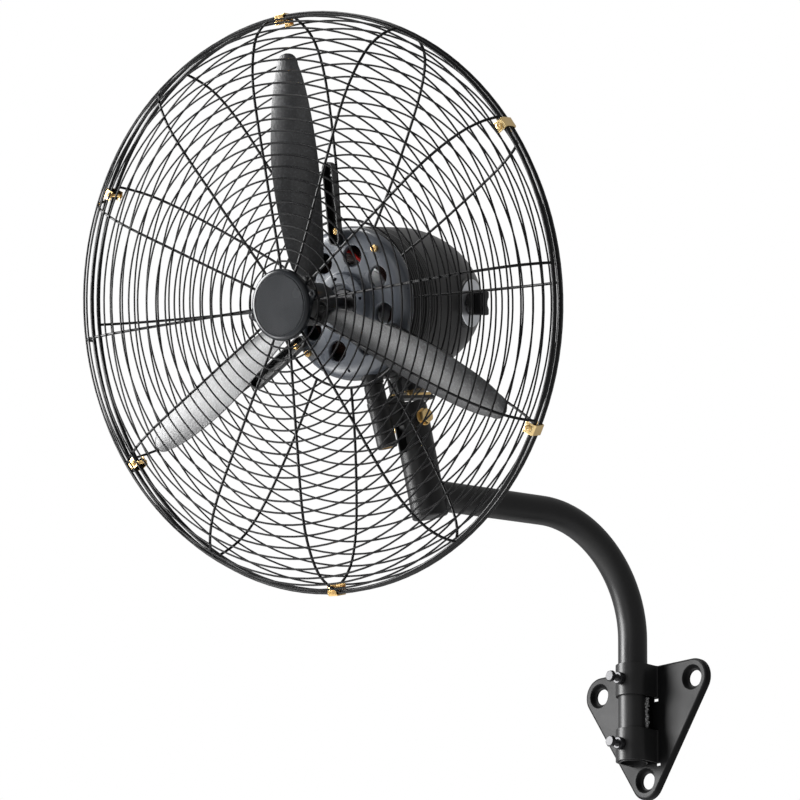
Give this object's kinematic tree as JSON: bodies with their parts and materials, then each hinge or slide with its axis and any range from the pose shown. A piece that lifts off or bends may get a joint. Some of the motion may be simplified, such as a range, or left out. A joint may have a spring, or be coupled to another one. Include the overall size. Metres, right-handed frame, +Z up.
{
  "type": "wall mounted fan",
  "caption": "Wall-mounted industrial fan on a bent tube arm with a forked post, a tilting and swinging motor head, long blades and a two-part wire guard.",
  "frame": {"origin": "centre of the wall plate's back face, on the wall", "axes": "+Z up the wall, -Y out of the wall towards the room, the wall is the XZ plane"},
  "size_m": [0.6912, 0.7561, 0.8558],
  "materials": {
    "black_paint": "satin black powder coat",
    "guard_coat": "satin black wire coating",
    "motor_paint": "blue-grey satin paint",
    "blade_coat": "speckled grey textured coat",
    "yellow_zinc": "yellow passivated zinc plating",
    "black_zinc": "black zinc plating",
    "bare_steel": "bare machined steel",
    "winding_wire": "enamelled copper wire",
    "bronze": "plain bearing bronze",
    "black_plastic": "matte black moulding"
  },
  "bodies": {
    "bracket": {"wall_plate": "black_paint", "tube_saddle": "black_paint", "strap_upper": "black_paint", "strap_lower": "black_paint", "clamp_nut_upper": "black_zinc", "clamp_nut_lower": "black_zinc", "clamp_bolt_upper": "black_zinc", "clamp_bolt_lower": "black_zinc"},
    "arm": {"arm_tube": "black_paint", "post_fork": "black_paint", "tilt_bolt": "yellow_zinc", "tilt_washer": "yellow_zinc", "tilt_nut": "yellow_zinc"},
    "yoke": {"tilt_lug": "black_paint", "swing_bush": "bronze", "anchor_screw": "yellow_zinc"},
    "link": {"swing_link": "black_paint"},
    "crank": {"crank_arm": "yellow_zinc"},
    "head": {"motor_front_bracket": "motor_paint", "motor_can": "black_paint", "motor_rear_cover": "black_paint", "stator_core": "bare_steel", "winding_front": "winding_wire", "winding_rear": "winding_wire", "bearing_front": "bare_steel", "bearing_rear": "bare_steel", "swing_pin": "bare_steel", "swing_motor": "black_plastic", "swing_motor_saddle": "black_paint", "front_guard": "guard_coat", "rear_guard": "guard_coat", "front_badge": "motor_paint", "badge_screw_left": "black_zinc", "badge_screw_right": "black_zinc", "guard_strip_1": "black_paint", "guard_strip_2": "black_paint", "guard_strip_3": "black_paint", "strip_screw_1": "yellow_zinc", "strip_screw_2": "yellow_zinc", "strip_screw_3": "yellow_zinc", "rim_clip_1": "yellow_zinc", "rim_clip_2": "yellow_zinc", "rim_clip_3": "yellow_zinc", "rim_clip_4": "yellow_zinc", "rim_clip_5": "yellow_zinc", "rim_clip_6": "yellow_zinc", "clip_screw_1": "yellow_zinc", "clip_screw_2": "yellow_zinc", "clip_screw_3": "yellow_zinc", "clip_screw_4": "yellow_zinc", "clip_screw_5": "yellow_zinc", "clip_screw_6": "yellow_zinc"},
    "rotor": {"motor_shaft": "bare_steel", "rotor_core": "bare_steel", "blade_hub": "black_paint", "hub_nut": "yellow_zinc", "blade_1": "blade_coat", "blade_2": "blade_coat", "blade_3": "blade_coat"},
    "knob": {"control_knob": "black_plastic"}
  },
  "joints": [
    {"name": "arm_swivel", "type": "hinge", "parent": "bracket", "child": "arm", "pos_m": [0, -0.031, 0], "axis": [0, 0, 1], "range_deg": [-41.6, 48.4]},
    {"name": "head_tilt", "type": "hinge", "parent": "arm", "child": "yoke", "pos_m": [-0.02228, -0.40597, 0.32454], "axis": [0.9982, -0.0593, 0], "range_deg": [-30, 12]},
    {"name": "head_swing", "type": "hinge", "parent": "yoke", "child": "head", "pos_m": [-0.02498, -0.45147, 0.30947], "axis": [-0.0186, -0.3134, 0.9494], "range_deg": [-59.2, 30.8]},
    {"name": "link_turn", "type": "hinge", "parent": "yoke", "child": "link", "pos_m": [-0.02394, -0.43402, 0.34579], "axis": [-0.0186, -0.3134, 0.9494], "range_deg": [-59.2, 30.8]},
    {"name": "crank_turn", "type": "hinge", "parent": "head", "child": "crank", "pos_m": [-0.03981, -0.39493, 0.36997], "axis": [-0.0186, -0.3134, 0.9494], "range_deg": [-30.8, 59.2]},
    {"name": "fan_spin", "type": "hinge", "parent": "head", "child": "rotor", "pos_m": [-0.01032, -0.58501, 0.42607], "axis": [0.1908, -0.9218, -0.3373], "continuous": true},
    {"name": "knob_pull", "type": "slide", "parent": "head", "child": "knob", "axis": [0.9422, 0.2685, -0.2007], "range_m": [0, 0.004]}
  ],
  "couplings": [
    {"joint": "link_turn", "follows": "head_swing", "ratio": 1},
    {"joint": "crank_turn", "follows": "head_swing", "ratio": -1}
  ]
}
